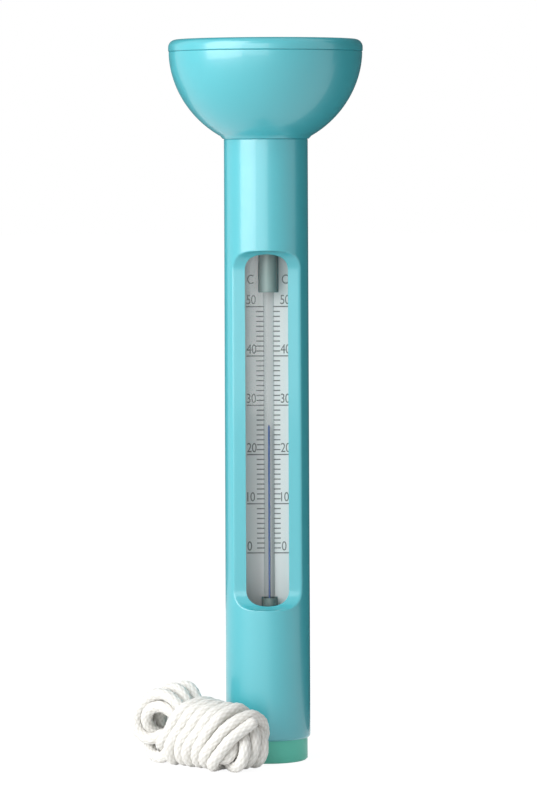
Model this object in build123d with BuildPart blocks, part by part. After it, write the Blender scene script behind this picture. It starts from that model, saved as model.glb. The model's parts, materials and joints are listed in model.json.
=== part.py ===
"""Floating pool thermometer: a half-ball float on a windowed case tube, a sealed
thermometer inside it, and a pull-out end cap that holds the cord.

Millimetres, +Z up. The origin is the centre of the end cap's base, and the window
faces -Y. Pieces are written one to a file, in the order in which they go together.
"""
import os
from math import asin, cos, pi, radians, sin, sqrt

from build123d import *

os.makedirs("parts", exist_ok=True)

# ---- driving dimensions -------------------------------------------------------
total_height = 224.5
float_diameter = 60.0
float_wall = 2.0
lid_height = 4.0
lid_overhang = 0.15
lid_edge_radius = 2.5
lid_dome_rise = 0.3
lid_plate = 2.2
lid_skirt_depth = 5.0
lid_skirt_wall = 2.75
lid_seat_step = 0.4

case_diameter = 26.0
case_foot_diameter = 26.4
case_bore_diameter = 20.5
case_foot_chamfer = 0.9
case_top_chamfer = 0.3
case_rib_height = 2.0
case_rib_depth = 1.95

window_low = 47.7
window_high = 159.0
window_plane = 7.8
window_runout_radius = 6.0

cap_height = 7.0
cap_diameter = 24.6
cap_base = 1.2
cap_edge_chamfer = 0.5
cap_spigot_length = 13.0
cap_spigot_wall = 2.4

neck_spigot_length = 10.0
neck_spigot_wall = 2.6
seal_section = 1.2
ballast_length = 10.5

lens_wall = 1.2
lens_top = 172.0
bung_flange = 2.0
upper_bung_plug = 4.0
lower_bung_plug = 3.0

card_thickness = 0.6
card_front = 0.8
card_notch_margin = 0.3
card_notch_end_gap = 0.2

stem_diameter = 3.4
stem_offset = 0.6
stem_foot_gap = 2.0
stem_head_gap = 5.0
bore_radius = 0.30
bulb_cavity_radius = 1.15
bulb_cavity_height = 6.5
bulb_cavity_floor = 1.5
bore_end_wall = 3.0
stem_end_rounding = 0.8
low_sleeve_diameter = 4.4
low_sleeve_length = 12.6
high_sleeve_diameter = 5.7
high_sleeve_length = 22.0

zero_mark = 64.5
degree_pitch = 1.538
reading = 26.2
meniscus_height = 0.5

cord_diameter = 3.6
cord_exit_angle = 219.9
knot_face_rim = 0.19
lead_reach = 24.0
hank_back = Vector(-28.5, -6.5, 13.0)
hank_front = Vector(-10.0, -26.0, 9.6)
hank_back_radius = 13.3
hank_front_radius = 9.9

# ---- clearances ---------------------------------------------------------------
running_fit = 0.05
seat_fit = 0.02
glazing_fit = 0.15
stop_gap = 0.5
cord_slot_fit = 0.2
cord_top_gap = 0.3
knot_gap = 0.3
knot_floor_gap = 0.1

# ---- levels and radii worked out from them ------------------------------------
float_radius = float_diameter / 2
seam_z = total_height - lid_height
case_radius = case_diameter / 2
case_foot_radius = case_foot_diameter / 2
case_bore = case_bore_diameter / 2
neck_z = seam_z - sqrt(float_radius**2 - case_radius**2)
spigot_radius = case_bore - running_fit
neck_spigot_z = neck_z - neck_spigot_length
cap_spigot_top = cap_height + cap_spigot_length
cap_cavity = spigot_radius - cap_spigot_wall
rib_low = cap_spigot_top + stop_gap
rib_high = rib_low + case_rib_height
ballast_top = rib_high + ballast_length
lens_low = ballast_top + bung_flange
lens_outer = case_bore - glazing_fit
lens_inner = lens_outer - lens_wall
inside_low = lens_low + lower_bung_plug
inside_high = lens_top - upper_bung_plug
stem_radius = stem_diameter / 2
stem_y = card_front - stem_radius - seat_fit
stem_low = inside_low + stem_foot_gap
stem_high = inside_high - stem_head_gap
cavity_low = stem_low + bulb_cavity_floor
cavity_high = cavity_low + bulb_cavity_height
spirit_top = zero_mark + degree_pitch * reading


def write(piece, name):
    """Labels a finished piece and writes it to its own file."""
    piece.part.label = name
    export_step(piece.part, f"parts/{name}.step")


def ring_seal(z, outer_radius):
    """A round-section seal ring whose outside stands level with its spigot."""
    with BuildPart() as ring:
        with BuildSketch(Plane.XZ):
            with Locations((outer_radius - seal_section / 2, z)):
                Circle(seal_section / 2)
        revolve(axis=Axis.Z)
    return ring


def turned(points):
    """A solid of revolution about Z from its half outline as (radius, z) points."""
    with BuildPart() as body:
        with BuildSketch(Plane.XZ):
            with BuildLine():
                Polyline(*points, close=True)
            make_face()
        revolve(axis=Axis.Z)
    return body


def groove_ring(z, outer_radius):
    """The square ring of material that a ring seal's groove takes out of a spigot."""
    floor = outer_radius - seal_section - seat_fit
    rim = outer_radius + seal_section
    half = seal_section / 2 + seat_fit
    return turned([(floor, z - half), (rim, z - half), (rim, z + half), (floor, z + half)]).part


# ---- float bowl: a half ball with a hollow, closed spigot under it ------------
bowl_inside = float_radius - float_wall
rim_bore = bowl_inside + lid_seat_step
rim_step_z = seam_z - lid_skirt_depth - stop_gap
spigot_inside = spigot_radius - neck_spigot_wall
neck_seal_z = neck_z - neck_spigot_length / 2
neck_groove = groove_ring(neck_seal_z, spigot_radius)

with BuildPart() as float_bowl:
    with BuildSketch(Plane.XZ):
        with BuildLine():
            outer_mid = (float_radius * cos(radians(32)), seam_z - float_radius * sin(radians(32)))
            ThreePointArc((float_radius, seam_z), outer_mid, (case_radius, neck_z))
            Polyline(
                (case_radius, neck_z),
                (spigot_radius, neck_z),
                (spigot_radius, neck_spigot_z),
                (0, neck_spigot_z),
                (0, seam_z),
                (float_radius, seam_z),
            )
        make_face()
    revolve(axis=Axis.Z)
    with BuildSketch(Plane.XZ):
        with BuildLine():
            inner_mid = (bowl_inside * cos(radians(45)), seam_z - bowl_inside * sin(radians(45)))
            ThreePointArc((bowl_inside, seam_z), inner_mid, (0, seam_z - bowl_inside))
            Polyline((0, seam_z - bowl_inside), (0, seam_z), (bowl_inside, seam_z))
        make_face()
    revolve(axis=Axis.Z, mode=Mode.SUBTRACT)
    with BuildSketch(Plane.XY.offset(neck_spigot_z + float_wall)):
        Circle(spigot_inside)
    extrude(amount=neck_spigot_length + float_wall, mode=Mode.SUBTRACT)
    with BuildSketch(Plane.XY.offset(rim_step_z)):
        Circle(rim_bore)
    extrude(amount=seam_z - rim_step_z, mode=Mode.SUBTRACT)
    add(neck_groove, mode=Mode.SUBTRACT)
write(float_bowl, "float_bowl")

# ---- float lid: a shallow domed cover with a skirt that plugs the bowl --------
lid_radius = float_radius + lid_overhang
lid_shoulder = total_height - lid_dome_rise
skirt_outer = rim_bore - running_fit
skirt_inner = skirt_outer - lid_skirt_wall
skirt_low = seam_z - lid_skirt_depth
lid_seal_z = seam_z - lid_skirt_depth / 2
lid_groove = groove_ring(lid_seal_z, skirt_outer)

with BuildPart() as float_lid:
    with BuildSketch(Plane.XZ):
        with BuildLine():
            edge_in = lid_radius - lid_edge_radius
            dome_mid = (edge_in / 2, total_height - lid_dome_rise / 4)
            corner = lid_edge_radius * (1 - cos(radians(45)))
            ThreePointArc((0, total_height), dome_mid, (edge_in, lid_shoulder))
            ThreePointArc(
                (edge_in, lid_shoulder),
                (lid_radius - corner, lid_shoulder - corner),
                (lid_radius, lid_shoulder - lid_edge_radius),
            )
            Polyline(
                (lid_radius, lid_shoulder - lid_edge_radius),
                (lid_radius, seam_z),
                (skirt_outer, seam_z),
                (skirt_outer, skirt_low),
                (skirt_inner, skirt_low),
                (skirt_inner, total_height - lid_plate),
                (0, total_height - lid_plate),
                (0, total_height),
            )
        make_face()
    revolve(axis=Axis.Z)
    add(lid_groove, mode=Mode.SUBTRACT)
write(float_lid, "float_lid")

write(ring_seal(lid_seal_z, skirt_outer), "lid_seal")
write(ring_seal(neck_seal_z, spigot_radius), "neck_seal")

# ---- case tube: thick wall, slight draft, a milled flat as the window ---------
runout_depth = case_radius - window_plane
runout_length = sqrt(window_runout_radius**2 - (window_runout_radius - runout_depth) ** 2)
flat_low = window_low + runout_length
flat_high = window_high - runout_length
cutter_axis = -window_plane - window_runout_radius
cutter_back = cutter_axis - case_foot_radius
arc_reach = window_runout_radius * sin(radians(45))

with BuildPart() as case_tube:
    with BuildSketch(Plane.XZ):
        with BuildLine():
            Polyline(
                (case_bore, cap_height),
                (case_foot_radius - case_foot_chamfer, cap_height),
                (case_foot_radius, cap_height + case_foot_chamfer),
                (case_radius, neck_z - case_top_chamfer),
                (case_radius - case_top_chamfer, neck_z),
                (case_bore, neck_z),
                (case_bore, rib_high),
                (case_bore - case_rib_depth, rib_high),
                (case_bore - case_rib_depth, rib_low),
                (case_bore, rib_low),
                close=True,
            )
        make_face()
    revolve(axis=Axis.Z)
    with BuildSketch(Plane.YZ):
        with BuildLine():
            low_end = flat_low - window_runout_radius
            high_end = flat_high + window_runout_radius
            Polyline(
                (cutter_axis, high_end),
                (cutter_back, high_end),
                (cutter_back, low_end),
                (cutter_axis, low_end),
            )
            ThreePointArc(
                (cutter_axis, low_end),
                (cutter_axis + arc_reach, flat_low - arc_reach),
                (-window_plane, flat_low),
            )
            Line((-window_plane, flat_low), (-window_plane, flat_high))
            ThreePointArc(
                (-window_plane, flat_high),
                (cutter_axis + arc_reach, flat_high + arc_reach),
                (cutter_axis, high_end),
            )
        make_face()
    extrude(amount=case_foot_diameter, both=True, mode=Mode.SUBTRACT)
write(case_tube, "case_tube")

# ---- lens tube and the bungs that close it ------------------------------------
lens_tube = turned(
    [(lens_inner, lens_low), (lens_outer, lens_low), (lens_outer, lens_top), (lens_inner, lens_top)]
)
write(lens_tube, "lens_tube")

plug_radius = lens_inner - running_fit
lower_bung = turned(
    [
        (0, ballast_top),
        (lens_outer, ballast_top),
        (lens_outer, lens_low),
        (plug_radius, lens_low),
        (plug_radius, inside_low),
        (0, inside_low),
    ]
)
write(lower_bung, "lower_bung")

bung_top = lens_top + bung_flange
upper_bung = turned(
    [
        (0, inside_high),
        (plug_radius, inside_high),
        (plug_radius, lens_top),
        (lens_outer, lens_top),
        (lens_outer, bung_top),
        (0, bung_top),
    ]
)
write(upper_bung, "upper_bung")

foam_pad = turned(
    [(0, bung_top), (lens_outer, bung_top), (lens_outer, neck_spigot_z), (0, neck_spigot_z)]
)
write(foam_pad, "foam_pad")

ballast_radius = case_bore - running_fit
ballast_slug = turned(
    [(0, rib_high), (ballast_radius, rib_high), (ballast_radius, ballast_top), (0, ballast_top)]
)
write(ballast_slug, "ballast_slug")

# ---- scale card: flat, behind the stem, slotted at both ends for its sleeves --
card_back = card_front + card_thickness
card_half_width = sqrt(lens_inner**2 - card_back**2) - running_fit
low_notch_width = low_sleeve_diameter + 2 * card_notch_margin
high_notch_width = high_sleeve_diameter + 2 * card_notch_margin
low_notch_depth = low_sleeve_length + card_notch_end_gap
high_notch_depth = high_sleeve_length + card_notch_end_gap

with BuildPart() as scale_card:
    with BuildSketch(Plane.XZ.offset(-card_front)):
        with Locations((0, (inside_low + inside_high) / 2)):
            Rectangle(2 * card_half_width, inside_high - inside_low)
        with Locations((stem_offset, inside_low)):
            Rectangle(low_notch_width, 2 * low_notch_depth, mode=Mode.SUBTRACT)
        with Locations((stem_offset, inside_high)):
            Rectangle(high_notch_width, 2 * high_notch_depth, mode=Mode.SUBTRACT)
    extrude(amount=-card_thickness)
write(scale_card, "scale_card")

# ---- glass stem: a round rod with a sealed bulb cavity and a fine bore --------
stem_plane = Plane((stem_offset, stem_y, 0))
stem_length = stem_high - stem_low

with BuildPart() as glass_stem:
    with BuildSketch(stem_plane.offset(stem_low)):
        Circle(stem_radius)
    extrude(amount=stem_length)
    fillet(glass_stem.edges().filter_by(GeomType.CIRCLE), radius=stem_end_rounding * stem_radius)
    with BuildSketch(stem_plane.offset(cavity_low)):
        Circle(bulb_cavity_radius)
    extrude(amount=bulb_cavity_height, mode=Mode.SUBTRACT)
    with BuildSketch(stem_plane.offset(cavity_high)):
        Circle(bore_radius)
    extrude(amount=stem_high - bore_end_wall - cavity_high, mode=Mode.SUBTRACT)
write(glass_stem, "glass_stem")

sleeve_inside = stem_radius + seat_fit


def stem_sleeve(low, length, diameter):
    """A soft tube round the stem, standing on or hanging from a bung."""
    with BuildPart() as sleeve:
        with BuildSketch(stem_plane.offset(low)):
            Circle(diameter / 2)
            Circle(sleeve_inside, mode=Mode.SUBTRACT)
        extrude(amount=length)
    return sleeve


high_sleeve_low = inside_high - high_sleeve_length
lower_stem_sleeve = stem_sleeve(inside_low, low_sleeve_length, low_sleeve_diameter)
upper_stem_sleeve = stem_sleeve(high_sleeve_low, high_sleeve_length, high_sleeve_diameter)
write(lower_stem_sleeve, "lower_stem_sleeve")
write(upper_stem_sleeve, "upper_stem_sleeve")

# ---- spirit: the bulb's filling, the column in the bore and its top -----------
with BuildPart() as spirit_reservoir:
    with BuildSketch(stem_plane.offset(cavity_low + seat_fit)):
        Circle(bulb_cavity_radius - seat_fit)
    extrude(amount=bulb_cavity_height - 2 * seat_fit)
write(spirit_reservoir, "spirit_reservoir")

column_low = cavity_high
meniscus_low = spirit_top - meniscus_height

with BuildPart() as spirit_column:
    with BuildSketch(stem_plane.offset(column_low)):
        Circle(bore_radius - running_fit)
    extrude(amount=meniscus_low - column_low)
write(spirit_column, "spirit_column")

with BuildPart() as spirit_meniscus:
    with BuildSketch(stem_plane.offset(meniscus_low)):
        Circle(bore_radius - running_fit)
    extrude(amount=meniscus_height)
write(spirit_meniscus, "spirit_meniscus")

# ---- end cap: a foot the tube stands on, a sealed spigot, a slot for the cord -
cap_radius = cap_diameter / 2
cord_radius = cord_diameter / 2
cord_exit_height = cap_height - cord_radius - cord_top_gap
cap_seal_z = cap_height + cap_spigot_length / 2
cap_groove = groove_ring(cap_seal_z, spigot_radius)
exit_x = cos(radians(cord_exit_angle))
exit_y = sin(radians(cord_exit_angle))
exit_plane = Plane(origin=(0, 0, cord_exit_height), x_dir=(-exit_y, exit_x, 0), z_dir=(exit_x, exit_y, 0))
slot_width = cord_diameter + 2 * cord_slot_fit

with BuildPart() as end_cap:
    with BuildSketch(Plane.XZ):
        with BuildLine():
            Polyline(
                (0, 0),
                (cap_radius - cap_edge_chamfer, 0),
                (cap_radius, cap_edge_chamfer),
                (cap_radius, cap_height),
                (spigot_radius, cap_height),
                (spigot_radius, cap_spigot_top),
                (cap_cavity, cap_spigot_top),
                (cap_cavity, cap_base),
                (0, cap_base),
                close=True,
            )
        make_face()
    revolve(axis=Axis.Z)
    add(cap_groove, mode=Mode.SUBTRACT)
    with BuildSketch(exit_plane):
        Circle(slot_width / 2)
        with Locations((0, (cap_height - cord_exit_height) / 2)):
            Rectangle(slot_width, cap_height - cord_exit_height)
    extrude(amount=cap_diameter, mode=Mode.SUBTRACT)
write(end_cap, "end_cap")
write(ring_seal(cap_seal_z, spigot_radius), "cap_seal")

# ---- cord: a stopper knot in the cap, a short lead and a loose hank -----------
knot_radius = cord_exit_height - cap_base - knot_floor_gap
knot_flat = sqrt(knot_radius**2 - (cord_radius + knot_face_rim) ** 2)
knot_face = cap_cavity - knot_gap
knot_centre = knot_face - knot_flat

with BuildPart() as cord_knot:
    with Locations((exit_x * knot_centre, exit_y * knot_centre, cord_exit_height)):
        Sphere(knot_radius)
    split(bisect_by=exit_plane.offset(knot_face), keep=Keep.BOTTOM)
write(cord_knot, "cord_knot")

hank_span = hank_front - hank_back
hank_length = hank_span.length
hank_side = Vector(0, 0, 1).cross(hank_span).normalized()
hank_plane = Plane(origin=hank_back, x_dir=hank_span, z_dir=hank_side)
flank = asin((hank_back_radius - hank_front_radius) / hank_length)


def on_circle(centre, radius, angle):
    """A point of the hank's outline on one of its two end circles."""
    return (centre + radius * cos(angle), radius * sin(angle))


flank_angle = radians(90) - flank

with BuildPart() as cord_hank:
    with BuildSketch(hank_plane):
        with BuildLine():
            back_end = on_circle(0, hank_back_radius, radians(180))
            back_tangent = on_circle(0, hank_back_radius, flank_angle)
            front_tangent = on_circle(hank_length, hank_front_radius, flank_angle)
            front_end = on_circle(hank_length, hank_front_radius, 0)
            back_mid = on_circle(0, hank_back_radius, (radians(180) + flank_angle) / 2)
            front_mid = on_circle(hank_length, hank_front_radius, flank_angle / 2)
            ThreePointArc(back_end, back_mid, back_tangent)
            Line(back_tangent, front_tangent)
            ThreePointArc(front_tangent, front_mid, front_end)
            Line(front_end, back_end)
        make_face()
    revolve(axis=Axis(hank_back, hank_span))
    split(bisect_by=Plane.XY, keep=Keep.TOP)
write(cord_hank, "cord_hank")

lead_route = [
    exit_plane.offset(knot_face).origin,
    exit_plane.offset(lead_reach).origin,
]

with BuildPart() as cord_lead:
    with BuildLine():
        Line(*lead_route)
    with BuildSketch(exit_plane.offset(knot_face)):
        Circle(cord_radius)
    sweep()
    add(cord_hank.part, mode=Mode.SUBTRACT)
write(cord_lead, "cord_lead")

print("cord lead: one straight run, no turn, so it has no bend radius")
print(f"cord lead volume over section times length: {cord_lead.part.volume / (pi * cord_radius**2):.2f} mm")
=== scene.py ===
# %% [markdown]
# # Floating pool thermometer
# A turquoise half-ball float on a thick tube. A flat milled into the tube bares a clear
# inner tube, with a glass stem and a white scale card in it. A green cap plugs the foot and
# holds a white braided cord, wound into a small hank.
#
# The frame brings every hard piece at its real size, so positions are read from it. What
# this script adds is how the pieces look.

import json
import math

import bmesh
import bpy
import numpy as np
from mathutils import Matrix, Vector


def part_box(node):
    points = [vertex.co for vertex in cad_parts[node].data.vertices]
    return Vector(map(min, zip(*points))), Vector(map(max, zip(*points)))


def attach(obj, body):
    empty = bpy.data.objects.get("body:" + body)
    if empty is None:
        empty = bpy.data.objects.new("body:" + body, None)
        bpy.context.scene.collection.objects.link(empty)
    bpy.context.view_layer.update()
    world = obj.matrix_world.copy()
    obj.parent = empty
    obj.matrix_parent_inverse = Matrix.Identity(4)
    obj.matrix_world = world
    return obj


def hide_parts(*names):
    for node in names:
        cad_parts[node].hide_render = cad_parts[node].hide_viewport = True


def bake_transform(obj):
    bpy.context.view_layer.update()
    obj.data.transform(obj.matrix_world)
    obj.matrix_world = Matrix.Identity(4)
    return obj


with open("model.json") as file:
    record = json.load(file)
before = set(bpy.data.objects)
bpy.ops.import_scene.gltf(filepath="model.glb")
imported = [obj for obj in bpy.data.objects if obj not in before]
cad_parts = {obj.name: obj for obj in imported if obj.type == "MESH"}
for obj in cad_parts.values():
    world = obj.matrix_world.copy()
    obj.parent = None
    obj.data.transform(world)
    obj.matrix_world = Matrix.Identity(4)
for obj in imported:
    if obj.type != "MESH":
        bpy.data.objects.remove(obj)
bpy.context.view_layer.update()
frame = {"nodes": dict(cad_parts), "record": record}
MM = 0.001
TAU = 2 * math.pi

# %% [markdown]
# ## Camera
# A long lens well back keeps the tube's sides parallel. The camera stands near the height of
# the float's underside and looks a few degrees down, so the rim of the lid shows as a thin
# ellipse and the foot as a rounder one. A quarter of a degree of roll leans the tube.

# %% The studio camera
view_distance = 1.329
view_height = 0.188
view_side = 0.0005
view_pitch = math.radians(3.259)
view_roll = math.radians(-0.24)

camera_data = bpy.data.cameras.new("studio_camera")
camera_data.sensor_fit = "VERTICAL"
camera_data.sensor_height = 24.0
camera_data.lens = 128.3
camera = bpy.data.objects.new("studio_camera", camera_data)
bpy.context.scene.collection.objects.link(camera)
camera.matrix_world = (
    Matrix.Translation((view_side, -view_distance, view_height))
    @ Matrix.Rotation(math.radians(90) - view_pitch, 4, "X")
    @ Matrix.Rotation(view_roll, 4, "Z")
)
bpy.context.scene.camera = camera
print("camera at", tuple(round(v, 3) for v in camera.location))

# %% [markdown]
# ## Surfaces from arrays
# Every new piece is a grid of points worked out at once. Three helpers turn such arrays into
# meshes: one joins a grid's points with quads, one spins a half outline about Z, and one
# rounds an outline's corners first, because moulded plastic has no sharp edge.

# %% Helpers for meshes
def grid_faces(rows, columns, wrap_columns=False):
    """Quads of a rows x columns grid: point (i, j) joins (i, j+1), (i+1, j+1) and (i+1, j)."""
    last = columns if wrap_columns else columns - 1
    i, j = np.meshgrid(np.arange(rows - 1), np.arange(last), indexing="ij")
    right = (j + 1) % columns
    quads = np.stack([i * columns + j, i * columns + right, (i + 1) * columns + right, (i + 1) * columns + j], -1)
    return quads.reshape(-1, 4)


def make_piece(name, points, faces, material, body, slot=None, angle=35, merge=True):
    """A mesh object at the origin from an array of points in metres and a list of faces.

    Points in one place are merged, faces are turned so that the volume inside is positive,
    and edges sharper than the angle in degrees stay crisp."""
    mesh = bpy.data.meshes.new(name)
    mesh.from_pydata(np.asarray(points).tolist(), [], [list(map(int, f)) for f in faces])
    shape = bmesh.new()
    shape.from_mesh(mesh)
    if merge:
        bmesh.ops.remove_doubles(shape, verts=shape.verts, dist=2e-7)
        if shape.calc_volume(signed=True) < 0:
            bmesh.ops.reverse_faces(shape, faces=shape.faces)
    open_edges = sum(not e.is_manifold for e in shape.edges)
    shape.to_mesh(mesh)
    shape.free()
    mesh.polygons.foreach_set("use_smooth", np.ones(len(mesh.polygons), bool))
    mesh.set_sharp_from_angle(angle=math.radians(angle))
    mesh.materials.append(material)
    piece = bpy.data.objects.new(name, mesh)
    bpy.context.scene.collection.objects.link(piece)
    if body:
        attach(piece, body)
    print(name, len(mesh.vertices), "points,", len(mesh.polygons), "faces,", open_edges, "open edges")
    return piece


def rounded(corners, steps=7):
    """An open outline of (radius, z) corners with each one that has a rounding cut to an arc.

    A corner of rounding f between unit directions p and q starts f*tan(turn/2) before it
    and ends as far after it, and its points are centre + f*(cos t, sin t)."""
    out = [np.array(corners[0][:2], float)]
    for before, here, after in zip(corners[:-2], corners[1:-1], corners[2:]):
        point, radius = np.array(here[:2], float), here[2] if len(here) > 2 else 0.0
        if radius == 0.0:
            out.append(point)
            continue
        p = point - np.array(before[:2], float)
        q = np.array(after[:2], float) - point
        p, q = p / np.linalg.norm(p), q / np.linalg.norm(q)
        turn = math.acos(float(np.clip(p @ q, -1, 1)))
        side = np.sign(p[0] * q[1] - p[1] * q[0])
        start = point - p * radius * math.tan(turn / 2)
        normal = np.array([-p[1], p[0]]) * side
        centre = start + normal * radius
        t = np.linspace(0, turn, steps)[:, None]
        out.extend(centre + radius * (p * np.sin(t) - normal * np.cos(t)))
    out.append(np.array(corners[-1][:2], float))
    return np.array(out)


def spun(profile, segments=160):
    """Points and faces of the outline (r, z) spun about Z: (r sin t, -r cos t, z).

    The outline runs clockwise round the solid's half section, so that its faces look out.
    Ends on the axis become one point each."""
    t = np.arange(segments) / segments * TAU
    ring = profile[(profile[:, 0] > 1e-9)]
    x = ring[:, :1] * np.sin(t)
    y = -ring[:, :1] * np.cos(t)
    z = np.repeat(ring[:, 1:], segments, axis=1)
    points = np.stack([x, y, z], -1).reshape(-1, 3)
    faces = grid_faces(len(ring), segments, wrap_columns=True)[:, ::-1].tolist()
    count = len(points)
    for end, row in ((0, 0), (-1, len(ring) - 1)):
        if profile[end, 0] > 1e-9:
            continue
        points = np.vstack([points, [[0, 0, profile[end, 1]]]])
        this = row * segments + np.arange(segments)
        following = row * segments + (np.arange(segments) + 1) % segments
        hub = np.full(segments, count)
        fan = np.stack([this, following, hub] if end == 0 else [following, this, hub], 1)
        faces += fan.tolist()
        count += 1
    return points * MM, faces


# %% [markdown]
# ## Finishes
# A finish is a small tree of nodes. Moulded plastic is one colour only from far away: close
# up its shade drifts a little where the melt flowed, its gloss is uneven, and its skin has a
# faint orange peel. Each helper below adds one of those to a Principled shader, on Object
# coordinates in metres, so that the grain has a real size.

# %% Helpers for finishes
def new_finish(name):
    """A material with a Principled shader: returns the material, its tree and the shader."""
    material = bpy.data.materials.new(name)
    material.use_nodes = True
    tree = material.node_tree
    return material, tree, tree.nodes["Principled BSDF"]


def add(tree, kind, **values):
    """A node of that kind, with input or attribute values set by name."""
    node = tree.nodes.new(kind)
    for key, value in values.items():
        if hasattr(node, key):
            setattr(node, key, value)
        else:
            node.inputs[key.replace("_", " ")].default_value = value
    return node


def grain(tree, scale, detail=4.0, rough=0.5, stretch=(1, 1, 1)):
    """Noise on Object coordinates, scale in cells per metre, stretched per axis."""
    place = add(tree, "ShaderNodeTexCoord")
    mapping = add(tree, "ShaderNodeMapping")
    mapping.inputs["Scale"].default_value = stretch
    noise = add(tree, "ShaderNodeTexNoise", Scale=scale, Detail=detail, Roughness=rough)
    tree.links.new(place.outputs["Object"], mapping.inputs["Vector"])
    tree.links.new(mapping.outputs["Vector"], noise.inputs["Vector"])
    return noise.outputs["Fac"]


def spread(tree, value, low, high):
    """Maps a 0.25..0.75 noise to low..high."""
    node = add(tree, "ShaderNodeMapRange")
    node.inputs["From Min"].default_value = 0.25
    node.inputs["From Max"].default_value = 0.75
    node.inputs["To Min"].default_value = low
    node.inputs["To Max"].default_value = high
    tree.links.new(value, node.inputs["Value"])
    return node.outputs["Result"]


def two_tone(tree, value, dark, light):
    """Mixes two colours by a noise."""
    mix = add(tree, "ShaderNodeMix", data_type="RGBA")
    mix.inputs["A"].default_value = (*dark, 1)
    mix.inputs["B"].default_value = (*light, 1)
    mix.inputs[6].default_value = (*dark, 1)
    mix.inputs[7].default_value = (*light, 1)
    tree.links.new(spread(tree, value, 0.0, 1.0), mix.inputs[0])
    return mix.outputs[2]


def add_bump(tree, shader, height, strength, distance):
    """Feeds a height to the shader's normal: distance in metres for a height of one."""
    bump = add(tree, "ShaderNodeBump")
    bump.inputs["Strength"].default_value = strength
    bump.inputs["Distance"].default_value = distance
    tree.links.new(height, bump.inputs["Height"])
    tree.links.new(bump.outputs["Normal"], shader.inputs["Normal"])


def moulded(name, dark, light, gloss=(0.30, 0.38), coat=0.5, peel=900.0, level=1.0):
    """Injection-moulded plastic: two close shades, uneven gloss and a fine orange peel."""
    material, tree, shader = new_finish(name)
    flow = grain(tree, 28.0, detail=3.0, stretch=(1, 1, 0.35))
    tree.links.new(two_tone(tree, flow, dark, light), shader.inputs["Base Color"])
    tree.links.new(spread(tree, grain(tree, 260.0), *gloss), shader.inputs["Roughness"])
    add_bump(tree, shader, grain(tree, peel, detail=1.0), 0.12, 0.00001)
    shader.inputs["Specular IOR Level"].default_value = level
    shader.inputs["Coat Weight"].default_value = coat
    shader.inputs["Coat Roughness"].default_value = 0.06
    return material


# %% [markdown]
# ### The shell plastic
# Float, lid and tube are one turquoise, a satin gloss with a crisp reflection of the studio's
# soft box. The cap's green is duller and greyer.

# %% Shell, cap and inner finishes
shell_plastic = moulded("turquoise_shell", (0.042, 0.425, 0.492), (0.048, 0.447, 0.517))
cap_plastic = moulded("green_cap", (0.105, 0.60, 0.46), (0.115, 0.63, 0.49), gloss=(0.4, 0.5), coat=0.1, level=0.5)
card_plastic = moulded("white_card", (0.91, 0.93, 0.92), (0.94, 0.96, 0.95), gloss=(0.45, 0.55), coat=0.0, level=0.4)
ink = moulded("grey_ink", (0.10, 0.115, 0.11), (0.14, 0.155, 0.15), gloss=(0.5, 0.6), coat=0.0)
spirit_blue = moulded("blue_spirit", (0.022, 0.105, 0.36), (0.028, 0.125, 0.42), gloss=(0.1, 0.15))
seal_rubber = moulded("black_rubber", (0.012, 0.012, 0.012), (0.02, 0.02, 0.02), gloss=(0.5, 0.65), coat=0.0)
bung_rubber = moulded("grey_rubber", (0.10, 0.125, 0.125), (0.13, 0.155, 0.15), gloss=(0.45, 0.6), coat=0.0)


def foam_finish():
    """Closed-cell foam: round cells a millimetre wide as pits in a dull dark grey, with painted shade darkening each
    pit towards its middle.
    """
    material, tree, shader = new_finish("grey_foam")
    place = add(tree, "ShaderNodeTexCoord")
    cells = add(tree, "ShaderNodeTexVoronoi", Scale=1100.0)
    tree.links.new(place.outputs["Object"], cells.inputs["Vector"])
    # Painted shade: the cell distance that dents the pits also darkens them towards their middle.
    tree.links.new(
        two_tone(tree, cells.outputs["Distance"], (0.05, 0.052, 0.052), (0.12, 0.125, 0.125)),
        shader.inputs["Base Color"],
    )
    shader.inputs["Roughness"].default_value = 0.9
    add_bump(tree, shader, cells.outputs["Distance"], 0.6, 0.0003)
    return material


def steel_finish():
    """Turned steel: fine rings left by the tool, stretched round the slug."""
    material, tree, shader = new_finish("ballast_steel")
    shader.inputs["Metallic"].default_value = 1.0
    rings = grain(tree, 900.0, stretch=(0.05, 0.05, 4.0))
    tree.links.new(two_tone(tree, rings, (0.36, 0.36, 0.37), (0.52, 0.52, 0.53)), shader.inputs["Base Color"])
    tree.links.new(spread(tree, rings, 0.28, 0.42), shader.inputs["Roughness"])
    add_bump(tree, shader, rings, 0.3, 0.00003)
    return material


foam = foam_finish()
steel = steel_finish()


# %% [markdown]
# ### Clear and smoky finishes
# The lens tube is a thin clear wall. Bending light through it would cost time and hide the
# card in noise, so it is a mix: mostly a transparent shader with a breath of tint that grows
# where the wall is seen edge on, and a mirror share that follows Fresnel's law.

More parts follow.
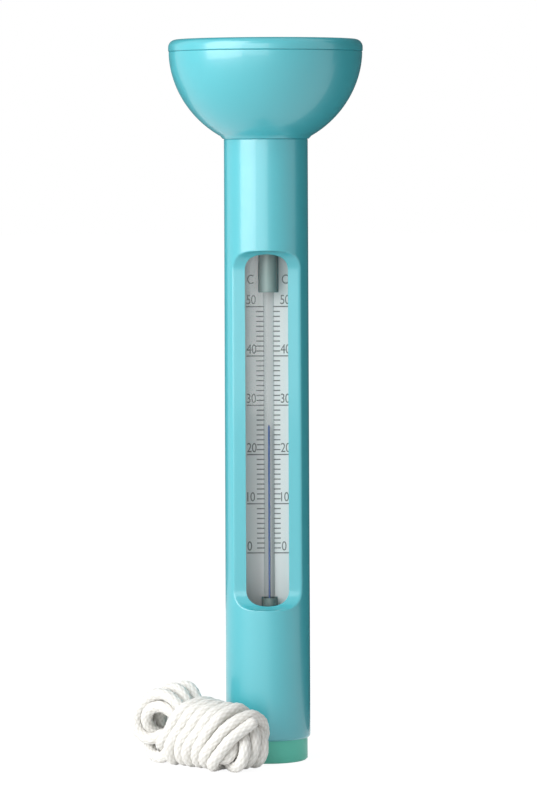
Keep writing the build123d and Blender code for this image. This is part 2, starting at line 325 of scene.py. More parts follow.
# %% Clear finishes
def clear_finish(name, through, edge_through, mirror, roughness, edge_blend=0.35):
    """Transparent, tinted more towards grazing views. The gloss takes Schlick's share,
    mirror + 0.6 (1 - cos)^5, which is the same for faces seen from inside the wall."""
    material = bpy.data.materials.new(name)
    material.use_nodes = True
    tree = material.node_tree
    tree.nodes.remove(tree.nodes["Principled BSDF"])
    output = tree.nodes["Material Output"]
    facing = add(tree, "ShaderNodeLayerWeight", Blend=edge_blend)
    tint = add(tree, "ShaderNodeMix", data_type="RGBA")
    tint.inputs[6].default_value = (*through, 1)
    tint.inputs[7].default_value = (*edge_through, 1)
    tree.links.new(facing.outputs["Facing"], tint.inputs[0])
    pass_through = add(tree, "ShaderNodeBsdfTransparent")
    tree.links.new(tint.outputs[2], pass_through.inputs["Color"])
    gloss = add(tree, "ShaderNodeBsdfGlossy", Roughness=roughness)
    edge_on = add(tree, "ShaderNodeLayerWeight", Blend=0.5)
    steep = add(tree, "ShaderNodeMath", operation="POWER")
    steep.inputs[1].default_value = 5.0
    share = add(tree, "ShaderNodeMath", operation="MULTIPLY_ADD")
    share.inputs[1].default_value = 0.6
    share.inputs[2].default_value = mirror
    tree.links.new(edge_on.outputs["Facing"], steep.inputs[0])
    tree.links.new(steep.outputs[0], share.inputs[0])
    mix = add(tree, "ShaderNodeMixShader")
    tree.links.new(share.outputs[0], mix.inputs[0])
    tree.links.new(pass_through.outputs["BSDF"], mix.inputs[1])
    tree.links.new(gloss.outputs["BSDF"], mix.inputs[2])
    light_path = add(tree, "ShaderNodeLightPath")
    lit_through = add(tree, "ShaderNodeMath", operation="MAXIMUM")
    tree.links.new(light_path.outputs["Is Shadow Ray"], lit_through.inputs[0])
    tree.links.new(light_path.outputs["Is Diffuse Ray"], lit_through.inputs[1])
    no_wall = add(tree, "ShaderNodeBsdfTransparent")
    choose = add(tree, "ShaderNodeMixShader")
    tree.links.new(lit_through.outputs[0], choose.inputs[0])
    tree.links.new(mix.outputs["Shader"], choose.inputs[1])
    tree.links.new(no_wall.outputs["BSDF"], choose.inputs[2])
    tree.links.new(choose.outputs["Shader"], output.inputs["Surface"])
    return material


clear_acrylic = clear_finish("clear_acrylic", (0.995, 1.0, 1.0), (0.90, 0.94, 0.94), 0.015, 0.03)
stem_glass = clear_finish("stem_glass", (0.93, 0.955, 0.96), (0.72, 0.79, 0.80), 0.01, 0.03, edge_blend=0.4)

smoky_sleeve, sleeve_tree, sleeve_shader = new_finish("smoky_sleeve")
sleeve_shader.inputs["Roughness"].default_value = 0.3
sleeve_shader.inputs["Alpha"].default_value = 0.72
sleeve_tree.links.new(
    two_tone(sleeve_tree, grain(sleeve_tree, 150.0, stretch=(1, 1, 0.2)), (0.26, 0.40, 0.38), (0.32, 0.46, 0.44)),
    sleeve_shader.inputs["Base Color"],
)

# %% [markdown]
# ## Finishes for the carried-over pieces
# The frame's own nodes keep their meshes. Each gets the finish of its material slot.

# %% Give every node its finish
finish_of_slot = {
    "turquoise_shell": shell_plastic,
    "black_rubber": seal_rubber,
    "clear_acrylic": clear_acrylic,
    "grey_rubber": bung_rubber,
    "grey_foam": foam,
    "ballast_steel": steel,
    "white_card": card_plastic,
    "stem_glass": stem_glass,
    "smoky_sleeve": smoky_sleeve,
    "blue_spirit": spirit_blue,
    "green_cap": cap_plastic,
}
slot_of_node = {entry["node"]: entry["material_slot"] for entry in frame["record"]["subparts"]}
for node, slot in slot_of_node.items():
    if slot in finish_of_slot:
        mesh = frame["nodes"][node].data
        mesh.materials.clear()
        mesh.materials.append(finish_of_slot[slot])
print("finishes given", sum(slot in finish_of_slot for slot in slot_of_node.values()))

# %% [markdown]
# ## The cord
# A limp braided cord, 3.6 mm thick and about a metre long, knotted inside the cap. It is put
# away as a hank: six long turns, then six and a half wraps round their waist. Drawing such a
# bundle by hand would leave turns inside each other, so the turns are first written as
# formulas and then let settle: touching strands push apart, the cord keeps its length, and
# gravity presses it on the floor.

# %% The hank's own frame
cord_width = 3.6
hank_back = np.array([-28.5, -6.5, 13.0])
hank_front = np.array([-10.0, -26.0, 9.6])
along = (hank_front - hank_back) / np.linalg.norm(hank_front - hank_back)
across = np.cross([0, 0, 1], along) / np.linalg.norm(np.cross([0, 0, 1], along))
upward = np.cross(along, across)
hank_turns = 6
hank_wraps = 6.6
wrap_lean = 0.6
spacing = 1.8
cord_random = np.random.default_rng(7)


def in_hank(u, a, b):
    """Points at u along the hank's axis, a across it and b above it."""
    return hank_back + np.outer(u, along) + np.outer(a, across) + np.outer(b, upward)


def ease(x):
    """A smooth step, 3x^2 - 2x^3, flat below 0 and above 1."""
    x = np.clip(x, 0, 1)
    return x * x * (3 - 2 * x)


def superpower(x, power):
    """|x|^power with the sign of x."""
    return np.sign(x) * np.abs(x) ** power


# %% The cord's route: lead, turns and wraps
def folded_turns(count):
    """Long flat turns. Each runs round a superellipse in the plane of the axis, pinched at
    the wraps and wide in the lobe behind them, and passes smoothly into the next turn."""
    column = np.array([1, 0, -1, -1, 0, 1], float)
    layer = np.array([0, 0, 0, 1, 1, 1], float)
    uneven = cord_random.uniform(-1, 1, (4, hank_turns))
    angle = np.linspace(225, 225 - 360 * hank_turns + 28, count)
    turn = (255 - angle) / 360
    now = np.clip(np.floor(turn).astype(int), 0, hank_turns - 1)
    last = np.clip(now - 1, 0, hank_turns - 1)
    change = ease((turn - now) / 0.29)

    def passing(values):
        return values[last] * (1 - change) + values[now] * change

    side, level = passing(column), passing(layer)
    back = -7.7 - 3.8 * level - 1.3 * passing(uneven[0]) * level
    front = 31.2 + 3.8 * level + 0.8 * passing(uneven[1])
    lobe = 8.8 + 4.2 * level + 0.8 * passing(uneven[2]) * level
    waist = 1.9 + 3.75 * level
    tip = 5.2 + 4.4 * level + 0.4 * passing(uneven[3])
    run = superpower(np.cos(np.radians(angle)), 0.9)
    u = (back + front) / 2 + (front - back) / 2 * run
    half = waist + (lobe - waist) * ease((9 - u) / 12) + (tip - waist) * ease((u - 22) / 8)
    b = half * np.sqrt(np.clip(1 - np.abs(run) ** 3.2, 0, 1)) * np.sign(np.sin(np.radians(angle)))
    a = 3.75 * side * (1 + 0.5 * ease((8 - u) / 12))
    return in_hank(u, a, b)


def waist_wraps(count):
    """A helix round the waist with a rounded-square section, leaning forward as it rises."""
    angle = np.linspace(-50, -50 - 360 * hank_wraps, count)
    a = 7.6 * superpower(np.cos(np.radians(angle)), 0.8)
    b = 9.5 * superpower(np.sin(np.radians(angle)), 0.8)
    return in_hank(4.6 + 3.75 * (-50 - angle) / 360 + wrap_lean * b, a, b)


exit_angle = math.radians(219.9)
exit_way = np.array([math.cos(exit_angle), math.sin(exit_angle), 0])
lead = np.array([
    exit_way * 7.5 + [0, 0, 4.9],
    exit_way * 10.0 + [0, 0, 4.9],
    exit_way * 12.6 + [0, 0, 4.9],
    exit_way * 15.2 + [0, 0, 4.6],
    [-14.9, -9.2, 3.8],
    [-18.2, -6.2, 2.9],
    [-21.8, -3.4, 2.3],
    [-25.4, -0.8, 2.6],
    [-28.3, 0.9, 4.2],
])
drawn = np.vstack([lead, folded_turns(900)[6:], waist_wraps(700)[8:]])
drawn_length = np.r_[0, np.cumsum(np.linalg.norm(np.diff(drawn, axis=0), axis=1))]
stations = np.linspace(0, drawn_length[-1], round(drawn_length[-1] / spacing) + 1)
route = np.stack([np.interp(stations, drawn_length, drawn[:, i]) for i in range(3)], 1)
print("drawn route", round(float(drawn_length[-1])), "mm,", len(route), "points")


# %% Let the turns settle
def settle(points, held, steps=500):
    """Moves the cord's points until strands touch but don't cross.

    Each step pushes points nearer than a diameter apart, drops all a little, restores the
    spacing of neighbours, opens bends tighter than a 6 mm radius, and keeps the cord on the
    floor and clear of the tube and cap. The held points stay."""
    first, second = np.triu_indices(len(points), 4)
    open_chord = 2 * 6.0 * math.sin(4 * spacing / 12.0)
    near = cord_width * 1.01
    for _ in range(steps):
        gap = points[second] - points[first]
        reach = np.sqrt((gap**2).sum(1)) + 1e-9
        close = reach < near
        push = gap[close] / reach[close, None] * (near - reach[close])[:, None] * 0.35
        move = np.zeros_like(points)
        np.add.at(move, second[close], push)
        np.add.at(move, first[close], -push)
        points = points + np.clip(move, -0.6, 0.6)
        points[:, 2] -= 0.004
        for half_pass in range(12):
            start = half_pass % 2
            pairs = (len(points) - start) // 2
            a = points[start : start + 2 * pairs : 2]
            b = points[start + 1 : start + 1 + 2 * pairs : 2]
            link = b - a
            size = np.linalg.norm(link, axis=1)[:, None]
            fix = link * (1 - spacing / size) * 0.5
            points[start : start + 2 * pairs : 2] += fix
            points[start + 1 : start + 1 + 2 * pairs : 2] -= fix
        chord = points[4:] - points[:-4]
        size = np.linalg.norm(chord, axis=1)[:, None]
        fix = chord * np.clip(open_chord / size - 1, 0, None) * 0.15
        points[4:] += fix
        points[:-4] -= fix
        bend = np.zeros_like(points)
        bend[1:-1] = (points[2:] + points[:-2]) / 2 - points[1:-1]
        points = points + 0.1 * bend
        points[:, 2] = np.maximum(points[:, 2], cord_width / 2)
        radius = np.hypot(points[:, 0], points[:, 1])
        clear = np.where(points[:, 2] < 5, 12.3, 13.2) + cord_width / 2 + 0.25
        points[:, :2] *= np.clip(clear / radius, 1, None)[:, None]
        points[: len(held)] = held
    return points


route = settle(route, route[:4].copy())
first, second = np.triu_indices(len(route), 4)
strand_gap = np.linalg.norm(route[second] - route[first], axis=1).min()
print("settled, nearest strands", round(float(strand_gap), 2), "mm apart")

# %% One smooth line through the route
line_data = bpy.data.curves.new("cord_line", "CURVE")
line_data.dimensions = "3D"
line_data.resolution_u = 4
line = line_data.splines.new("NURBS")
line.points.add(len(route) - 1)
line.points.foreach_set("co", np.c_[route * MM, np.ones(len(route))].ravel())
line.order_u = 3
line.use_endpoint_u = True
line_object = bpy.data.objects.new("cord_line", line_data)
line_mesh = bpy.data.meshes.new_from_object(line_object)
cord_path = np.zeros(len(line_mesh.vertices) * 3)
line_mesh.vertices.foreach_get("co", cord_path)
cord_path = cord_path.reshape(-1, 3)
bpy.data.objects.remove(line_object)
bpy.data.meshes.remove(line_mesh)
steps_along = np.linalg.norm(np.diff(cord_path, axis=0), axis=1)
cord_run = np.r_[0, np.cumsum(steps_along)]

# %% [markdown]
# ### The braid
# A braided cord is two families of strands that spiral opposite ways and pass over and under
# each other. On the unrolled skin they make a grid of diamonds. Each diamond is a small pad:
# rounded across the strand on top, and dipping only where it dives under the next.

# %% Braid shape and skin
braid_strands = 8
braid_pitch = 0.0030
braid_depth = 0.00024
skin_columns = 40


def path_frames(path):
    """Two directions across the path at each point, carried along without twist: each is the
    one before it with its part along the new direction taken away."""
    tangent = np.gradient(path, axis=0)
    tangent /= np.linalg.norm(tangent, axis=1)[:, None]
    side = np.zeros_like(path)
    carried = np.cross(tangent[0], [0, 0, 1.0])
    for i, t in enumerate(tangent):
        carried = carried - t * (carried @ t)
        carried /= np.linalg.norm(carried)
        side[i] = carried
    return side, np.cross(tangent, side)


def braid_height(run, angle):
    """Height 0..1 of the plait at a place along the cord and an angle round it.

    u and v count the strands of the two families. Where their whole parts add up even, the
    first family is on top, and the pad is sin(pi u) across it and a flatter sin along it."""
    u = braid_strands * angle / TAU + run / braid_pitch
    v = braid_strands * angle / TAU - run / braid_pitch
    first_on_top = (np.floor(u) + np.floor(v)) % 2 == 0
    wave_u = np.abs(np.sin(math.pi * u))
    wave_v = np.abs(np.sin(math.pi * v))
    over = np.where(first_on_top, wave_u, wave_v)
    length = np.where(first_on_top, wave_v, wave_u)
    return np.sqrt(over) * length**0.35


def braided_skin(name, path, run, radius, material, body, slot):
    """A closed tube round the path, radius plus braid height, with a hub at each end."""
    side, up = path_frames(path)
    angle = np.arange(skin_columns) / skin_columns * TAU
    height = braid_height(run[:, None], angle[None, :])
    reach = radius - braid_depth + braid_depth * 1.25 * height
    ends = np.minimum(run, run[-1] - run)[:, None]
    reach = reach * np.sqrt(np.clip(ends / (0.6 * radius), 0.02, 1))
    ring = side[:, None] * np.cos(angle)[None, :, None] + up[:, None] * np.sin(angle)[None, :, None]
    points = path[:, None] + ring * reach[..., None]
    rows = len(path)
    faces = grid_faces(rows, skin_columns, wrap_columns=True).tolist()
    hubs = np.vstack([path[0], path[-1]])
    low = np.arange(skin_columns)
    high = (rows - 1) * skin_columns + low
    hub = rows * skin_columns
    faces += np.stack([np.roll(low, -1), low, np.full(skin_columns, hub)], 1).tolist()
    faces += np.stack([high, np.roll(high, -1), np.full(skin_columns, hub + 1)], 1).tolist()
    piece = make_piece(name, np.vstack([points.reshape(-1, 3), hubs]), faces, material, body, slot, angle=180, merge=False)
    # The braid height is kept on each point as well, so that the cord finish can paint shade into the grooves from it.
    braid = piece.data.attributes.new("braid", "FLOAT", "POINT")
    braid.data.foreach_set("value", np.r_[height.ravel(), 0.0, 0.0])
    return piece


def cord_finish():
    """Off-white polyester yarn, fuzzy and matt, with painted shade: darker and warmer in the braid's grooves, paler on
    the pads.
    """
    material, tree, shader = new_finish("white_cord")
    braid = add(tree, "ShaderNodeAttribute", attribute_name="braid")
    # Painted shade: the braid height darkens and warms the colour towards the grooves between the strands.
    painted_groove_shade = add(tree, "ShaderNodeMix", data_type="RGBA")
    painted_groove_shade.inputs[6].default_value = (0.66, 0.64, 0.59, 1)
    painted_groove_shade.inputs[7].default_value = (0.94, 0.93, 0.90, 1)
    tree.links.new(braid.outputs["Fac"], painted_groove_shade.inputs[0])
    fibre = grain(tree, 2600.0, detail=3.0)
    shade = add(tree, "ShaderNodeMix", data_type="RGBA", blend_type="MULTIPLY")
    shade.inputs[0].default_value = 0.5
    tree.links.new(painted_groove_shade.outputs[2], shade.inputs[6])
    tree.links.new(two_tone(tree, fibre, (0.93, 0.925, 0.92), (1, 1, 1)), shade.inputs[7])
    tree.links.new(shade.outputs[2], shader.inputs["Base Color"])
    shader.inputs["Roughness"].default_value = 0.82
    shader.inputs["Sheen Weight"].default_value = 0.25
    shader.inputs["Sheen Roughness"].default_value = 0.5
    add_bump(tree, shader, fibre, 0.5, 0.00008)
    return material


white_cord = cord_finish()
cord = braided_skin("cord", cord_path, cord_run, cord_width / 2 * MM, white_cord, "cap", "white_cord")
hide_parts("cord_lead", "cord_hank")


# %% [markdown]
# ### The stopper knot
# Inside the cap the cord ends in a small pulled-tight knot. Only its lumps matter: three
# strands that spiral over a ball.

# %% The knot
def knot_surface(centre, radius, strands=3, rows=40, columns=96):
    """A ball whose radius dips between spiralling strands: r = R(1 - dip(1 - |sin|)^2)."""
    polar = np.linspace(0, math.pi, rows)[:, None]
    round_angle = np.arange(columns)[None, :] / columns * TAU
    wave = np.abs(np.sin(strands * round_angle / 2 + 2.4 * polar))
    reach = radius * (1 - 0.22 * (1 - wave) ** 2 * np.sin(polar) ** 0.5)
    axis_u, axis_v = np.cross(exit_way, [0, 0, 1.0]), np.array([0, 0, 1.0])
    spin_dir = np.cos(round_angle)[..., None] * axis_u + np.sin(round_angle)[..., None] * axis_v
    points = centre + reach[..., None] * (np.sin(polar)[..., None] * spin_dir + np.cos(polar)[..., None] * exit_way)
    return points.reshape(-1, 3), grid_faces(rows, columns, wrap_columns=True).tolist(), wave


knot_low, knot_high = (np.array(c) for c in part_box("cord_knot"))
knot_radius = (knot_high[2] - knot_low[2]) / 2
knot_centre = exit_way * 4.5 * MM + [0, 0, (knot_low[2] + knot_high[2]) / 2]
knot_points, knot_faces, knot_wave = knot_surface(knot_centre, knot_radius * 0.98)
knot = make_piece("stopper_knot", knot_points, knot_faces, white_cord, "cap", "white_cord")
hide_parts("cord_knot")

# %% [markdown]
# ## The float
# Bowl and lid are turned shapes, so each is a half outline spun about the axis. The bowl is
# half a ball with a hollow spigot under it. The lid is a shallow dome with a soft edge and a
# skirt that plugs the bowl. Where they meet, both edges are rounded, and that pair of small
# roundings is the thin dark line round the float.

# %% Bowl and lid
bowl_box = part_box("float_bowl")
lid_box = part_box("float_lid")
tube_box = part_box("case_tube")
seam = lid_box[0][2] / MM + 5.0
float_radius = bowl_box[1][0] / MM
bowl_foot = bowl_box[0][2] / MM
neck = tube_box[1][2] / MM
lid_top = lid_box[1][2] / MM
lid_radius = lid_box[1][0] / MM
neck_radius = 13.0
spigot_radius = 10.2
print("seam", round(seam, 2), "neck", round(neck, 2), "float radius", round(float_radius, 2))


def groove(radius, z, depth=1.22, half=0.62):
    """The four corners of a square seal groove, from below to above."""
    return [(radius, z - half), (radius - depth, z - half), (radius - depth, z + half), (radius, z + half)]


def ball_arc(radius, low_angle, high_angle, count, fullness=2.0):
    """Points of a ball's outline under the seam, at angles below the horizontal: both
    cos and sin are raised to 2/fullness, so below 2 it is a little slimmer than round."""
    t = np.radians(np.linspace(low_angle, high_angle, count))
    power = 2 / fullness
    return list(zip(radius * np.cos(t) ** power, seam - radius * np.sin(t) ** power))


bowl_fullness = 1.93
bowl_lip = 0.9
neck_angle = math.degrees(math.asin(((seam - neck - bowl_lip) / float_radius) ** (bowl_fullness / 2)))
wall_radius = float_radius - 2.0
hollow_angle = math.degrees(math.acos(7.6 / wall_radius))
step_angle = math.degrees(math.asin(5.5 / wall_radius))
bowl_outline = rounded(
    [(0, bowl_foot), (spigot_radius, bowl_foot, 0.4)]
    + groove(spigot_radius, neck - 5.0)
    + [(spigot_radius, neck), (neck_radius + 0.35, neck, 0.25)]
    + ball_arc(float_radius, neck_angle, 1.2, 48, bowl_fullness)
    + [(float_radius, seam, 0.35), (28.4, seam), (28.4, seam - 5.5)]
    + ball_arc(wall_radius, step_angle, hollow_angle, 40)
    + [(7.6, bowl_foot + 2.0), (0, bowl_foot + 2.0)]
)
dome = [(r, lid_top - 0.3 * (r / 27.65) ** 2) for r in np.linspace(0, 27.4, 12)]
lid_outline = rounded(
    dome
    + [(lid_radius, lid_top - 0.31, 2.45), (lid_radius, seam, 0.3), (28.35, seam)]
    + groove(28.35, seam - 2.5)[::-1]
    + [(28.35, seam - 5.0), (25.6, seam - 5.0), (25.6, lid_top - 2.2), (0, lid_top - 2.2)],
    steps=12,
)
bowl = make_piece("bowl_shell", *spun(bowl_outline, 200), shell_plastic, "case", "turquoise_shell")
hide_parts("float_bowl")
lid = make_piece("lid_shell", *spun(lid_outline, 200), shell_plastic, "case", "turquoise_shell")
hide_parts("float_lid")

# %% [markdown]
# ## The case tube
# The tube's wall is thick and its outside tapers by a hair. A cutter with a flat face and
# rounded ends has taken a slice off the front, and where that slice reaches the bore there is
# an opening. In polar terms this is short: outside, the radius is the smaller of the tube's
# own and the plane's distance over the cosine of the angle, and a soft minimum rounds the
# edge between them. The opening's half angle follows from where the plane meets the bore.

# %% Tube surface
tube_foot = tube_box[0][2] / MM
foot_radius = tube_box[1][0] / MM
bore = 10.25
flat_plane = 7.8
runout = 6.0
window_ends = (53.66, 153.04)
edge_softness = 0.16
rib = (20.5, 22.5, 8.3)


def plane_distance(z):
    """How far the cutter's face is from the axis at height z: flat, then a circle outward."""
    past = np.maximum(window_ends[0] - z, z - window_ends[1])
    arc = flat_plane + runout - np.sqrt(np.clip(runout**2 - np.clip(past, 0, runout) ** 2, 0, None))
    return np.where(past > runout, 99.0, arc)


def tube_rows():
    """Heights of the grid: dense where the cutter runs out and where the opening starts."""
    reach = math.sqrt(runout**2 - (runout - (bore - flat_plane)) ** 2)
    lip = math.sqrt(runout**2 - (runout - (foot_radius - flat_plane)) ** 2)
    into = np.linspace(0, 1, 18) ** 2 * reach
    rim = np.linspace(lip + 0.25, reach, 12)[:-1]
    low, high = window_ends
    start = 0.9 * (1 - np.cos(np.linspace(0, math.pi / 2, 6)))
    end = 0.3 * (1 - np.cos(np.linspace(0, math.pi / 2, 4)))
    return np.concatenate([
        tube_foot + start, np.linspace(10, rib[0], 5), [rib[0], rib[1], rib[1]],
        np.linspace(24, low - lip - 0.6, 10), low - rim, low - reach + into,
        np.linspace(low, high, 34)[1:-1], (high + reach - into)[::-1], (high + rim)[::-1],
        np.linspace(high + lip + 0.6, neck - 0.6, 14), (neck - end)[::-1],
    ])


def tube_surface(columns=288):
    """Outer and inner sheets over the same angles, from one side of the opening round the
    back to the other. They meet at the opening's edge and at both end faces."""
    z = tube_rows()
    plane = plane_distance(z)[:, None]
    taper = foot_radius + (neck_radius - foot_radius) * np.clip((z - tube_foot) / (neck - tube_foot), 0, 1)
    foot_in = 0.9 - np.sqrt(np.clip(0.81 - np.clip(tube_foot + 0.9 - z, 0, 0.9) ** 2, 0, None))
    neck_in = 0.3 - np.sqrt(np.clip(0.09 - np.clip(z - neck + 0.3, 0, 0.3) ** 2, 0, None))
    body = (taper - foot_in - neck_in)[:, None]
    opening = np.arccos(np.clip(plane / bore, -1, 1))
    t = np.linspace(0, 1, columns + 1)[None, :]
    angle = opening + t * (TAU - 2 * opening)
    facing = np.cos(angle)
    cut = np.where(facing > 0.05, plane / np.maximum(facing, 0.05), 99.0)
    least = np.minimum(body, cut)
    outer = least - edge_softness * np.log(np.exp((least - body) / edge_softness) + np.exp((least - cut) / edge_softness))
    outer = np.maximum(outer, bore)
    rib_rows = np.zeros(len(z), bool)
    rib_at = np.flatnonzero(np.isclose(z, rib[0]))[-1]
    rib_rows[rib_at : rib_at + 2] = True
    inner = np.where(rib_rows, rib[2], bore)[:, None] * np.ones_like(angle)
    ring = np.stack([np.sin(angle), -np.cos(angle)], -1)
    sheets = [np.concatenate([r[..., None] * ring, np.broadcast_to(z[:, None, None], (*angle.shape, 1))], -1) for r in (outer, inner)]
    size = angle.size
    quads = grid_faces(len(z), columns + 1)
    ends = np.stack([np.arange(columns), np.arange(columns) + 1], 1)
    top = ends + (len(z) - 1) * (columns + 1)
    closing = [np.c_[ends[:, ::-1], ends + size], np.c_[top, top[:, ::-1] + size]]
    faces = np.vstack([quads, quads[:, ::-1] + size, *closing])
    return np.concatenate([s.reshape(-1, 3) for s in sheets]) * MM, faces


tube = make_piece("tube_shell", *tube_surface(), shell_plastic, "case", "turquoise_shell")
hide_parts("case_tube")

# %% [markdown]
# ## Pieces kept as the frame has them, but smooth
# The cap, the clear tube, the stem and its sleeves have the right shape already. The frame's
# mesh is loose triangles, so a copy is merged and shaded smooth over its gentle angles.

# %% Smooth copies
def smooth_copy(node, name, material, body, slot, angle=35):
    """A merged copy of a node's mesh, smooth except over edges sharper than the angle."""
    source = frame["nodes"][node].data
    points = np.zeros(len(source.vertices) * 3)
    source.vertices.foreach_get("co", points)
    corners = np.zeros(len(source.loops), int)
    source.loops.foreach_get("vertex_index", corners)
    piece = make_piece(name, points.reshape(-1, 3), corners.reshape(-1, 3), material, body, slot, angle=angle)
    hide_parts(node)
    return piece


smooth_copy("end_cap", "cap_shell", cap_plastic, "cap", "green_cap")
smooth_copy("lens_tube", "clear_tube", clear_acrylic, "case", "clear_acrylic")

stem_low, stem_high = (np.array(c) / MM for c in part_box("glass_stem"))
stem_x, stem_y = (stem_low[:2] + stem_high[:2]) / 2
stem_radius = (stem_high[0] - stem_low[0]) / 2
rod = [(0, stem_low[2]), (stem_radius, stem_low[2], 1.35), (stem_radius, stem_high[2], 1.35), (0, stem_high[2])]
stem_points, stem_faces = spun(rounded(rod, steps=9), 48)
stem_points += np.array([stem_x, stem_y, 0]) * MM
stem = make_piece("stem", stem_points, stem_faces, stem_glass, "case", "stem_glass")
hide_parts("glass_stem")
smooth_copy("lower_stem_sleeve", "low_sleeve", smoky_sleeve, "case", "smoky_sleeve")
smooth_copy("upper_stem_sleeve", "high_sleeve", smoky_sleeve, "case", "smoky_sleeve")
smooth_copy("scale_card", "card", card_plastic, "case", "white_card", angle=20)

# %% [markdown]
# ## The printed scale
# The print is a thin layer of ink on the card: a short line for each degree, a long one with
# a figure for each ten, and the unit letter above, on both sides of the stem. Lines are small
# boxes. Figures are made with the text tool, squeezed to a narrow face, and turned to a mesh.

# %% Scale print
card_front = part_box("scale_card")[0][1]
zero_mark = 64.5
degree_pitch = 1.538
reading = 26.2
top_degree = 50
ink_depth = 0.03 * MM
figure_height = 3.0
figure_squeeze = 0.78


def ink_boxes(left, right, middle, thick):
    """Points and faces of one flat box per line: eight corners each, in one array."""
    x = np.stack([left, right], -1)
    z = np.stack([middle - thick / 2, middle + thick / 2], -1)
    y = np.array([card_front - ink_depth, card_front + ink_depth]) / MM
    corners = np.stack(
        [np.stack([x[:, i], np.full(len(x), y[j]), z[:, k]], -1) for i in (0, 1) for j in (0, 1) for k in (0, 1)], 1
    )
    one = np.array([(0, 1, 3, 2), (4, 6, 7, 5), (0, 4, 5, 1), (2, 3, 7, 6), (0, 2, 6, 4), (1, 5, 7, 3)])
    faces = (np.arange(len(x))[:, None, None] * 8 + one[None]).reshape(-1, 4)
    return corners.reshape(-1, 3) * MM, faces


def figure(text, x, z):
    """The points and faces of a text, its left foot at x and z on the card, in metres."""
    curve = bpy.data.curves.new("figure", "FONT")
    curve.body = text
    curve.size = figure_height / 0.72
    curve.resolution_u = 4
    curve.extrude = ink_depth / MM
    curve.space_character = 0.95
    holder = bpy.data.objects.new("figure", curve)
    mesh = bpy.data.meshes.new_from_object(holder)
    flat = np.zeros(len(mesh.vertices) * 3)
    mesh.vertices.foreach_get("co", flat)
    flat = flat.reshape(-1, 3)
    points = np.stack([
        (flat[:, 0] - flat[:, 0].min()) * figure_squeeze + x,
        flat[:, 2] * -1 + card_front / MM,
        flat[:, 1] + z,
    ], -1)
    faces = [list(p.vertices) for p in mesh.polygons]
    bpy.data.objects.remove(holder)
    bpy.data.meshes.remove(mesh)
    return points * MM, faces


degrees = np.arange(top_degree + 1)
heights = zero_mark + degree_pitch * degrees
tens = degrees % 10 == 0
left_end = np.where(tens, stem_x - 6.9, stem_x - 3.85)
right_end = np.where(tens, stem_x + 7.4, stem_x + 3.55)
line_points, line_faces = ink_boxes(
    np.r_[left_end, np.full(len(degrees), stem_x + 1.45)],
    np.r_[np.full(len(degrees), stem_x - 1.45), right_end],
    np.r_[heights, heights], 0.36,
)
parts = [(line_points, line_faces.tolist())]
for ten in range(0, top_degree + 1, 10):
    height = zero_mark + degree_pitch * ten + 0.75
    parts.append(figure(str(ten), stem_x - 6.85, height))
    parts.append(figure(str(ten), stem_x + (3.7 if ten else 3.9), height))
parts.append(figure("C", stem_x - 6.6, zero_mark + degree_pitch * 54.6))
parts.append(figure("C", stem_x + 4.2, zero_mark + degree_pitch * 54.6))
offsets = np.cumsum([0] + [len(p) for p, _ in parts])
print_faces = [[i + int(base) for i in face] for (_, faces), base in zip(parts, offsets) for face in faces]
make_piece("scale_print", np.vstack([p for p, _ in parts]), print_faces, ink, "case", "white_card", merge=False)

# %% [markdown]
# ## The spirit
# The blue spirit stands in the stem's fine bore. Its foot stays at the bulb while its top
# rises and falls; here the column is one thread from the bulb up to the reading. The
# round glass in front magnifies it, so it is drawn a third wider than the bore holds.

# %% Spirit thread
column_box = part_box("spirit_column")
thread_x = (column_box[0][0] + column_box[1][0]) / 2
thread_y = (column_box[0][1] + column_box[1][1]) / 2
magnified = 1.35
thread_radius = magnified * (column_box[1][0] - column_box[0][0]) / 2
thread_low = column_box[0][2]
thread_high = (zero_mark + degree_pitch * reading) * MM


def thread_surface(rows=90, columns=20):
    """A thin round column with a domed top: r falls as the square root near the end."""
    z = np.linspace(thread_low, thread_high, rows)[:, None]
    angle = np.arange(columns)[None, :] / columns * TAU
    taper = np.sqrt(np.clip((thread_high - z) / (2 * thread_radius), 0, 1))
    reach = thread_radius * taper
    points = np.stack([thread_x + reach * np.sin(angle), thread_y - reach * np.cos(angle), z + 0 * angle], -1)
    faces = grid_faces(rows, columns, wrap_columns=True).tolist()
    faces.append(list(range(columns)))
    return points.reshape(-1, 3), faces


thread = make_piece("spirit_thread", *thread_surface(), spirit_blue, None, "blue_spirit")
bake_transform(thread)
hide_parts("spirit_column", "spirit_meniscus")

# %% [markdown]
# ## Floor, backdrop and light
# The object stands on a plain white sheet. One soft box at the left lights it, and the pale
# room fills in. What the camera sees of floor and room is drawn white by a light path switch,
# so no extra light is needed to burn it out. Black cards behind and at the right, seen only
# in reflections, give the float and tube their dark right edge, and a bright one in front
# gives the flat window face its sheen.

# %% Floor
def seen_directly(tree, share):
    """The share, for camera, glossy and transmission rays, and none for the others."""
    path = add(tree, "ShaderNodeLightPath")
    total = path.outputs["Is Camera Ray"]
    for name in ("Is Glossy Ray", "Is Transmission Ray"):
        plus = add(tree, "ShaderNodeMath", operation="MAXIMUM")
        tree.links.new(total, plus.inputs[0])
        tree.links.new(path.outputs[name], plus.inputs[1])
        total = plus.outputs[0]
    scale = add(tree, "ShaderNodeMath", operation="MULTIPLY")
    scale.inputs[1].default_value = share
    tree.links.new(total, scale.inputs[0])
    return scale.outputs[0]


def studio_sheet(name, x, y, z):
    """A flat quad from four corner arrays."""
    mesh = bpy.data.meshes.new(name)
    mesh.from_pydata(list(zip(x, y, z)), [], [(0, 1, 2, 3)])
    sheet = bpy.data.objects.new(name, mesh)
    bpy.context.scene.collection.objects.link(sheet)
    return sheet


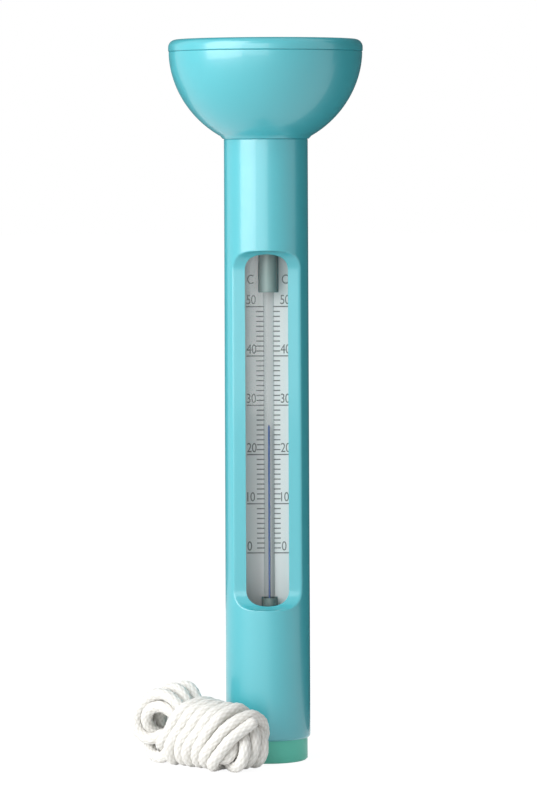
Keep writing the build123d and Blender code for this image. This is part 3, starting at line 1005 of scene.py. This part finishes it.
floor = studio_sheet("floor", (-9, 9, 9, -9), (-9, -9, 9, 9), (0, 0, 0, 0))
floor_white = bpy.data.materials.new("floor_white")
floor_white.use_nodes = True
floor_tree = floor_white.node_tree
floor_tree.nodes.remove(floor_tree.nodes["Principled BSDF"])
matt = add(floor_tree, "ShaderNodeBsdfDiffuse")
matt.inputs["Color"].default_value = (0.92, 0.92, 0.92, 1)
glow = add(floor_tree, "ShaderNodeEmission", Strength=1.17)
floor_mix = add(floor_tree, "ShaderNodeMixShader")
floor_tree.links.new(seen_directly(floor_tree, 0.8), floor_mix.inputs[0])
floor_tree.links.new(matt.outputs[0], floor_mix.inputs[1])
floor_tree.links.new(glow.outputs[0], floor_mix.inputs[2])
floor_tree.links.new(floor_mix.outputs[0], floor_tree.nodes["Material Output"].inputs["Surface"])
floor.data.materials.append(floor_white)

# %% Reflection cards, soft box and room
def reflection_card(name, x, y, z, colour, glow=0.0):
    """A studio card that only reflections see, so that it blocks and adds no light."""
    card = studio_sheet(name, x, y, z)
    finish = bpy.data.materials.new(name)
    finish.use_nodes = True
    shader = finish.node_tree.nodes["Principled BSDF"]
    shader.inputs["Base Color"].default_value = (*colour, 1)
    shader.inputs["Emission Color"].default_value = (1, 1, 1, 1)
    shader.inputs["Emission Strength"].default_value = glow
    card.data.materials.append(finish)
    card.visible_camera = False
    card.visible_diffuse = False
    card.visible_shadow = False
    card.visible_transmission = False
    return card


black = (0.02, 0.02, 0.02)
card_distance = 0.43
reflection_card("card_behind", (-0.44, 2.1, 2.1, -0.44), (card_distance,) * 4, (0.001, 0.001, 1.2, 1.2), black)
reflection_card("card_right", (1.0,) * 4, (-0.05, card_distance, card_distance, -0.05), (0.001, 0.001, 1.2, 1.2), black)
reflection_card("card_low", (0.04, 1.0, 1.0, 0.04), (0.04, 0.04, card_distance, card_distance), (0.001,) * 4, black)
reflection_card("card_front", (-0.80, 0.12, 0.12, -0.80), (-1.7,) * 4, (0.01, 0.01, 1.0, 1.0), black, glow=3.0)

box_azimuth = math.radians(-51)
box_distance = 0.9
box_size = (0.86, 1.4)
box_radiance = 3.9
softbox = bpy.data.lights.new("softbox", "AREA")
softbox.shape = "RECTANGLE"
softbox.size, softbox.size_y = box_size
softbox.energy = box_radiance * math.pi * box_size[0] * box_size[1]
softbox_object = bpy.data.objects.new("softbox", softbox)
bpy.context.scene.collection.objects.link(softbox_object)
softbox_place = Vector((math.sin(box_azimuth) * box_distance, -math.cos(box_azimuth) * box_distance, 0.74))
softbox_object.location = softbox_place
softbox_object.rotation_euler = (Vector((0, 0, 0.6)) - softbox_place).to_track_quat("-Z", "Y").to_euler()

room_level = 0.43
world = bpy.data.worlds.new("studio_room")
world.use_nodes = True
bpy.context.scene.world = world
room_tree = world.node_tree
room = room_tree.nodes["Background"]
room.inputs["Color"].default_value = (1, 1, 1, 1)
room.inputs["Strength"].default_value = room_level
white = add(room_tree, "ShaderNodeBackground", Strength=1.0)
white.inputs["Color"].default_value = (1, 1, 1, 1)
room_mix = add(room_tree, "ShaderNodeMixShader")
room_tree.links.new(seen_directly(room_tree, 1.0), room_mix.inputs[0])
room_tree.links.new(room.outputs[0], room_mix.inputs[1])
room_tree.links.new(white.outputs[0], room_mix.inputs[2])
room_tree.links.new(room_mix.outputs[0], room_tree.nodes["World Output"].inputs["Surface"])
bpy.context.scene.view_settings.view_transform = "Standard"
